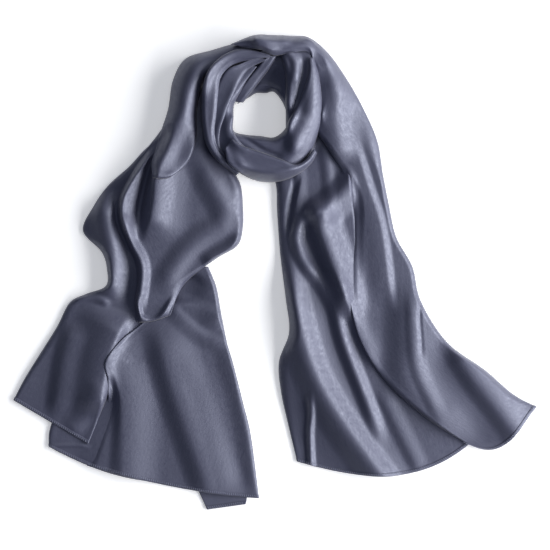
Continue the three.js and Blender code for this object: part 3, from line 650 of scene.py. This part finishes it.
# left end: roll that comes from the nape and down beside the loop
leftRoll = dict(
    piece="left_roll_cloth", node="left_roll", flat=(0.072, 0.289), held="laid",
    restsOn=["left_body"],
    roundTip=12,
    soft=(5.6, pastEnd),
    join=(6.0, 9.95, 9),
    sections=table(sectionColumns, [
        [-28, 351, -6, 322, 26, 4, 14, 14, 8, 0, 0],
        [-56, 344, -20, 322, 30, 4, 14, 14, 8, 0, 0],
        [-94, 333, -58, 309, 35, 2, 14, 22, 8, 0, 0],
        [-134, 320, -96, 294, 38, 2, 16, 28, 10, 0, 0],
        [-153, 288, -111, 270, 37, 2, 16, 30, 14, 0, 0],
        [-160, 246, -117, 237, 35, 3, 16, 28, 18, 0, 0],
        [-170, 213, -117, 207, 32, 8, 16, 22, 20, 0, 0],
        [-178, 184, -123, 178, 29, 12, 16, 20, 20, 0, 0],
        [-184, 160, -136, 156, 26, 14, 16, 16, 16, 0, 0],
        [-182, 140, -156, 141, 22, 15, 15, 8, 8, 2, 2],
    ]),
    folds=table(foldColumns, [
        [-98, 333, -130, 276, -142, 225, -172, 141, 5, 20, 30],
    ]),
)
layStretch(leftRoll)

# right end: the lower layer, with the long main fold
rightInner = dict(
    piece="right_inner_cloth", node="right_inner", flat=(0.199, 0.519), held="laid",
    restsOn=["studio_floor"],
    hem="right_inner_hem",
    sections=table(sectionColumns, [
        [-4, 150, 88, 230, 9, 4, 4, 8, 6, 0, 0],
        [2, 126, 108, 180, 13, 2, 4, 16, 8, 0, 0],
        [3, 93, 118, 129, 14, 2, 3, 20, 8, 0, 0],
        [6, 48, 124, 72, 13, 2, 2, 22, 8, 0, 0],
        [9, 15, 128, 15, 12, 2, 2, 20, 8, 0, 0],
        [16, -40, 136, -45, 11, 2, 3, 18, 8, 0, 0],
        [21, -90, 160, -102, 10, 2, 4, 18, 8, 0, 0],
        [6, -134, 194, -153, 9, 2, 4, 16, 6, 0, 0],
        [9, -180, 231, -192, 8, 2, 4, 14, 6, 0, 0],
        [20, -230, 267, -222, 6, 2, 4, 10, 6, 12, 13.5],
        [33, -284, 304, -246, 4, 3, 3, 5, 5, 33, 39],
    ]),
    folds=table(foldColumns, [
        [16, 48, 34, -75, 80, -195, 218, -387, 12, 30, 36],
        [51, -174, 54, -214, 52, -246, 56, -327, 6, 9, 8],
        [70, 108, 36, 69, 36, 33, 64, -18, 8, 16, 16],
        [40, 21, 86, -45, 106, -114, 166, -267, 9, 17, 16],
        [146, 183, 112, 132, 82, 102, 46, 75, 14, 36, 26],
        [63, 120, 66, 75, 84, 21, 118, -75, 20, 40, 26],
        [86, 15, 100, -24, 112, -60, 160, -150, 7, 16, 18],
        [32, 171, 34, 138, 34, 108, 32, 60, 3, 18, 9],
        [36, 150, 28, 117, 22, 90, 20, 48, -4, 8, 10],
        [70, 201, 76, 168, 80, 135, 80, 99, 3, 14, 14],
        [152, -168, 170, -201, 184, -231, 224, -312, 3.5, 22, 16],
    ]),
    creases=table(foldColumns, [
        [16, 48, 34, -75, 80, -195, 218, -387, 9, 50, 72],
    ]),
)
layStretch(rightInner)

# loop: inside of the neck opening at the back
loopBack = dict(
    piece="loop_back_cloth", node="loop_back", flat=(0.055, 0.115), held="laid",
    restsOn=["loop_core"],
    sections=table(sectionColumns, [
        [-56, 252, -34, 309, 12, 2, 16, 8, 4, 0, 0],
        [-40, 261, -22, 327, 12, 2, 14, 8, 4, 0, 0],
        [-28, 268, -10, 330, 12, 2, 15, 8, 4, 0, 0],
        [-14, 268, 0, 332, 12, 2, 15, 8, 4, 0, 0],
        [-2, 270, 9, 330, 12, 2, 15, 8, 4, 0, 0],
        [9, 258, 18, 324, 13, 2, 16, 8, 4, 0, 0],
        [16, 243, 24, 296, 18, 2, 18, 8, 4, 0, 0],
        [20, 225, 28, 266, 18, 2, 18, 6, 4, 0, 0],
    ]),
    folds=table(foldColumns, [
        [-32, 276, -20, 279, -8, 278, 10, 270, 3, 5, 5],
    ]),
)
layStretch(loopBack)

# loop: narrow strip across the back of the neck opening
loopNape = dict(
    piece="loop_nape_cloth", node="loop_nape", flat=(0.03, 0.08), held="laid",
    restsOn=["loop_core"],
    sections=table(sectionColumns, [
        [3, 322, -14, 320, 30, 18, 22, 7, 5, 0, 0],
        [-8, 304, -28, 304, 29, 18, 22, 7, 5, 0, 0],
        [-20, 288, -42, 288, 27, 17, 20, 7, 5, 0, 0],
        [-34, 270, -54, 272, 24, 12, 18, 6, 5, 0, 0],
        [-48, 253, -64, 255, 19, 4, 14, 6, 5, 0, 0],
    ]),
)
layStretch(loopNape)

# loop: inner band on the right
loopRightInner = dict(
    piece="loop_right_inner_cloth", node="loop_right_inner", flat=(0.054, 0.144), held="laid",
    restsOn=["loop_core"],
    sections=table(sectionColumns, [
        [8, 338, 54, 342, 34, 18, 30, 10, 5, 0, 0],
        [9, 322, 56, 327, 36, 18, 30, 10, 5, 0, 0],
        [14, 303, 58, 303, 38, 18, 30, 10, 5, 0, 0],
        [16, 280, 57, 276, 38, 14, 30, 10, 5, 0, 0],
        [15, 258, 51, 249, 36, 4, 30, 9, 5, 0, 0],
        [16, 237, 42, 231, 33, 2, 28, 8, 5, 0, 0],
        [16, 218, 38, 214, 30, 2, 26, 7, 5, 0, 0],
    ]),
    folds=table(foldColumns, [
        [14, 336, 27, 318, 30, 303, 27, 276, 5, 14, 9],
        [42, 324, 40, 294, 36, 267, 28, 240, -3, 8, 7],
    ]),
)
layStretch(loopRightInner)

# loop: band round the front and up the right side to a point
loopFrontInner = dict(
    piece="loop_front_inner_cloth", node="loop_front_inner", flat=(0.063, 0.268), held="laid",
    restsOn=["loop_core"],
    sections=table(sectionColumns, [
        [-62, 234, -82, 207, 30, 4, 26, 7, 4, 0, 0],
        [-62, 212, -76, 186, 33, 2, 26, 8, 4, 0, 0],
        [-44, 206, -48, 171, 36, 2, 26, 10, 4, 0, 0],
        [-22, 204, -20, 162, 37, 2, 26, 11, 4, 0, 0],
        [-2, 202, 9, 154, 38, 2, 26, 11, 5, 0, 0],
        [14, 213, 34, 156, 39, 2, 20, 10, 22, 0, 0],
        [21, 228, 56, 183, 40, 8, 14, 9, 22, 0, 0],
        [32, 246, 68, 222, 41, 30, 27, 8, 16, 0, 0],
        [42, 270, 70, 255, 41, 32, 30, 7, 16, 0, 0],
        [50, 297, 66, 291, 41, 34, 32, 5, 11, 0, 0],
        [51, 320, 58, 318, 40, 34, 30, 3, 4, 0, 0],
    ]),
    folds=table(foldColumns, [
        [-58, 207, -34, 192, -14, 180, 14, 171, -3, 6, 6],
        [8, 156, 32, 195, 51, 240, 54, 324, 5, 16, 18],
    ]),
    creases=table(foldColumns, [
        [36, 243, 28, 219, 26, 196, 34, 171, 5, 27, 14],
    ]),
)
layStretch(loopFrontInner)

# loop: inner band on the left
loopLeftInner = dict(
    piece="loop_left_inner_cloth", node="loop_left_inner", flat=(0.038, 0.167), held="laid",
    restsOn=["loop_core"],
    sections=table(sectionColumns, [
        [-27, 306, -42, 309, 30, 25, 26, 6, 4, 0, 0],
        [-42, 286, -58, 291, 31, 23, 27, 8, 4, 0, 0],
        [-51, 270, -74, 267, 33, 12, 29, 11, 4, 0, 0],
        [-61, 250, -82, 243, 34, 2, 29, 14, 4, 0, 0],
        [-62, 230, -90, 220, 34, 2, 29, 14, 4, 0, 0],
        [-62, 210, -93, 198, 33, 2, 27, 14, 4, 0, 0],
        [-50, 192, -86, 172, 30, 20, 24, 10, 4, 0, 0],
        [-34, 178, -68, 156, 26, 18, 20, 8, 4, 0, 0],
    ]),
    folds=table(foldColumns, [
        [-50, 285, -60, 258, -66, 228, -72, 192, 2.5, 8, 24],
    ]),
)
layStretch(loopLeftInner)

# loop: middle band on the left
loopLeftMiddle = dict(
    piece="loop_left_middle_cloth", node="loop_left_middle", flat=(0.025, 0.193), held="laid",
    restsOn=["loop_core"],
    join=(0.6, 6.6, 6),
    seat=1.2,
    sections=table(sectionColumns, [
        [-12, 316, -26, 321, 32, 29, 28, 5, 4, 0, 0],
        [-38, 303, -52, 310, 34, 30, 29, 6, 4, 0, 0],
        [-51, 285, -74, 300, 36, 31, 31, 6, 4, 0, 0],
        [-64, 258, -88, 273, 36, 31, 31, 6, 4, 0, 0],
        [-75, 231, -96, 243, 35, 31, 31, 6, 4, 0, 0],
        [-82, 207, -99, 216, 34, 30, 29, 6, 4, 0, 0],
        [-80, 183, -98, 189, 32, 28, 27, 6, 4, 0, 0],
        [-63, 164, -80, 164, 28, 24, 23, 5, 4, 0, 0],
    ]),
)
layStretch(loopLeftMiddle)

# loop: outer band on the left
loopLeftOuter = dict(
    piece="loop_left_outer_cloth", node="loop_left_outer", flat=(0.035, 0.267), held="laid",
    restsOn=["loop_core"],
    soft=(0.5, pastEnd),
    join=(0.6, 8.8, 7),
    seat=1.6,
    sections=table(sectionColumns, [
        [-3, 320, -10, 324, 35, 32, 28, 3, 3, 0, 0],
        [-34, 316, -44, 333, 38, 34, 26, 5, 6, 0, 0],
        [-62, 309, -72, 326, 38, 34, 20, 5, 8, 0, 0],
        [-80, 291, -96, 306, 38, 34, 14, 5, 8, 0, 0],
        [-84, 266, -108, 279, 38, 34, 12, 5, 8, 0, 0],
        [-87, 236, -111, 246, 38, 34, 11, 5, 8, 0, 0],
        [-90, 208, -108, 210, 37, 33, 10, 5, 8, 0, 0],
        [-84, 186, -100, 184, 36, 31, 8, 5, 8, 0, 0],
        [-68, 168, -84, 164, 33, 29, 6, 5, 8, 0, 0],
        [-46, 154, -58, 144, 29, 26, 4, 4, 6, 0, 0],
    ]),
)
layStretch(loopLeftOuter)

# loop: cowl across the front
loopCowl = dict(
    piece="loop_cowl_cloth", node="loop_cowl", flat=(0.053, 0.168), held="laid",
    restsOn=["loop_front_inner"],
    sections=table(sectionColumns, [
        [-64, 198, -75, 183, 40, 34, 30, 5, 5, 0, 0],
        [-51, 189, -69, 160, 44, 36, 14, 6, 12, 0, 0],
        [-33, 183, -46, 144, 45, 37, 3, 6, 18, 0, 0],
        [-12, 176, -20, 135, 45, 37, 2, 6, 20, 0, 0],
        [9, 168, 10, 136, 44, 37, 2, 6, 18, 0, 0],
        [30, 160, 36, 147, 42, 36, 4, 5, 10, 0, 0],
        [46, 168, 54, 162, 37, 32, 10, 4, 6, 0, 0],
        [58, 184, 63, 178, 30, 28, 14, 3, 3, 0, 0],
    ]),
    folds=table(foldColumns, [
        [-64, 180, -44, 156, -10, 147, 44, 156, 3, 8, 8],
    ]),
)
layStretch(loopCowl)

# right end: band over the nape, then the upper layer down to its hem
rightOuter = dict(
    piece="right_outer_cloth", node="right_outer", flat=(0.108, 0.811), held="laid",
    restsOn=["right_inner", "loop_core"],
    hem="right_outer_hem",
    soft=(8.4, 12.7),
    tuck=(4.05, 7.5, 15),
    join=(8.4, 13.5, 16),
    seat=9,
    sections=table(sectionColumns, [
        [-52, 336, -66, 340, 36, 33, 28, 4, 4, 0, 0],
        [-20, 330, -32, 354, 43, 34, 14, 8, 12, 0, 0],
        [0, 322, -4, 355, 45, 32, 4, 8, 16, 0, 0],
        [26, 327, 26, 354, 45, 32, 2, 8, 18, 0, 0],
        [51, 326, 52, 351, 40, 32, 2, 9, 18, 0, 0],
        [54, 298, 80, 328, 28, 24, 2, 6, 13, 0, 0],
        [66, 261, 106, 292, 20, 18, 2, 5, 30, 0, 0],
        [56, 222, 130, 250, 17, 15, 2, 6, 40, 0, 0],
        [80, 183, 153, 198, 16, 13, 2, 8, 24, 0, 0],
        [104, 142, 162, 146, 15, 8, 2, 14, 8, 0, 0],
        [108, 105, 171, 100, 14, 3, 2, 26, 8, 0, 0],
        [108, 54, 182, 52, 13, 3, 2, 26, 8, 0, 0],
        [108, 2, 206, 8, 12, 3, 2, 26, 8, 0, 0],
        [112, -48, 219, -44, 12, 4, 2, 20, 8, 0, 0],
        [128, -106, 258, -105, 14, 6, 2, 12, 9, 0, 0],
        [165, -164, 315, -147, 14, 6, 2, 10, 10, 0, 0],
        [225, -218, 357, -183, 12, 6, 2, 9, 10, 9, 9],
        [284, -255, 392, -202, 8, 4, 3, 8, 8, 30, 20],
    ]),
    folds=table(foldColumns, [
        [62, 348, 94, 282, 88, 234, 100, 150, 10, 44, 60],
        [-44, 348, -20, 344, 2, 344, 26, 348, 4, 8, 16],
        [112, 210, 136, 132, 158, 60, 174, -69, 6.5, 14, 52],
        [136, 228, 156, 156, 168, 99, 184, 30, 1.5, 14, 18],
        [201, 3, 201, -102, 206, -174, 292, -267, 9.5, 64, 44],
        [204, -12, 206, -87, 214, -150, 256, -237, 3, 20, 14],
        [218, -30, 216, -66, 218, -96, 220, -135, -2, 5, 5],
        [256, -93, 296, -156, 328, -198, 386, -276, 8, 46, 26],
        [-34, 360, -30, 346, -22, 333, -14, 315, 9, 38, 9],
    ]),
    creases=table(foldColumns, [
        [256, -93, 296, -156, 328, -198, 386, -276, 5, 42, 50],
        [76, 303, 92, 270, 84, 228, 98, 156, 6.5, 34, 50],
    ]),
)
layStretch(rightOuter)

# pale studio floor: a light table, whose faint glow thins the shadows
floorLook = dict(colour="#fafafa", size=9.0, roughness=0.75, glow=0.4)


def layFloor():
    deselectAll()
    bpy.ops.mesh.primitive_plane_add(size=floorLook["size"], location=(0, 0, 0))
    floor = bpy.context.object
    floor.name = "studio_floor"
    material = bpy.data.materials.new("matt_white_board")
    material.use_nodes = True
    shader = material.node_tree.nodes["Principled BSDF"]
    shader.inputs["Base Color"].default_value = toLinear(floorLook["colour"])
    shader.inputs["Roughness"].default_value = floorLook["roughness"]
    shader.inputs["Emission Color"].default_value = toLinear(floorLook["colour"])
    shader.inputs["Emission Strength"].default_value = floorLook["glow"]
    floor.data.materials.append(material)


# soft light from the right, a weaker one from above and a little from all round
lights = dict(
    key=dict(place=(2.75, -0.2, 1.4), aim=(0, 0, 0), size=(4.4, 1.6), power=231, colour="#ffffff"),
    top=dict(place=(0.6, 1.6, 2.6), aim=(0, 0, 0), size=(2.0, 2.0), power=9, colour="#fbfcff"),
    around=dict(colour="#c9d5f2", strength=0.17),
)


def addLight(name, look):
    data = bpy.data.lights.new(name, "AREA")
    data.shape = "RECTANGLE"
    data.size, data.size_y = look["size"]
    data.energy = look["power"]
    data.color = toLinear(look["colour"])[:3]
    lamp = bpy.data.objects.new(name, data)
    bpy.context.scene.collection.objects.link(lamp)
    lamp.location = look["place"]
    way = lamp.location - Vector(look["aim"])
    lamp.rotation_euler = way.to_track_quat("Z", "Y").to_euler()


def lightStudio():
    addLight("key_softbox", lights["key"])
    addLight("top_softbox", lights["top"])
    world = bpy.data.worlds.new("studio")
    world.use_nodes = True
    world.node_tree.nodes["Background"].inputs["Color"].default_value = toLinear(lights["around"]["colour"])
    world.node_tree.nodes["Background"].inputs["Strength"].default_value = lights["around"]["strength"]
    bpy.context.scene.world = world
    bpy.context.scene.view_settings.view_transform = "Standard"


# camera straight above, with the photograph's framing: 550 pixels cover 825 mm
view = dict(across=0.825, middle=(0.0, -0.0045), height=5.0, sensor=36.0)


def setCamera():
    data = bpy.data.cameras.new("overhead")
    data.sensor_width = view["sensor"]
    data.lens = view["sensor"] * view["height"] / view["across"]
    camera = bpy.data.objects.new("overhead", data)
    camera.location = (*view["middle"], view["height"])
    bpy.context.scene.collection.objects.link(camera)
    bpy.context.scene.camera = camera


layFloor()
lightStudio()
setCamera()
print("floor, lights and camera set")
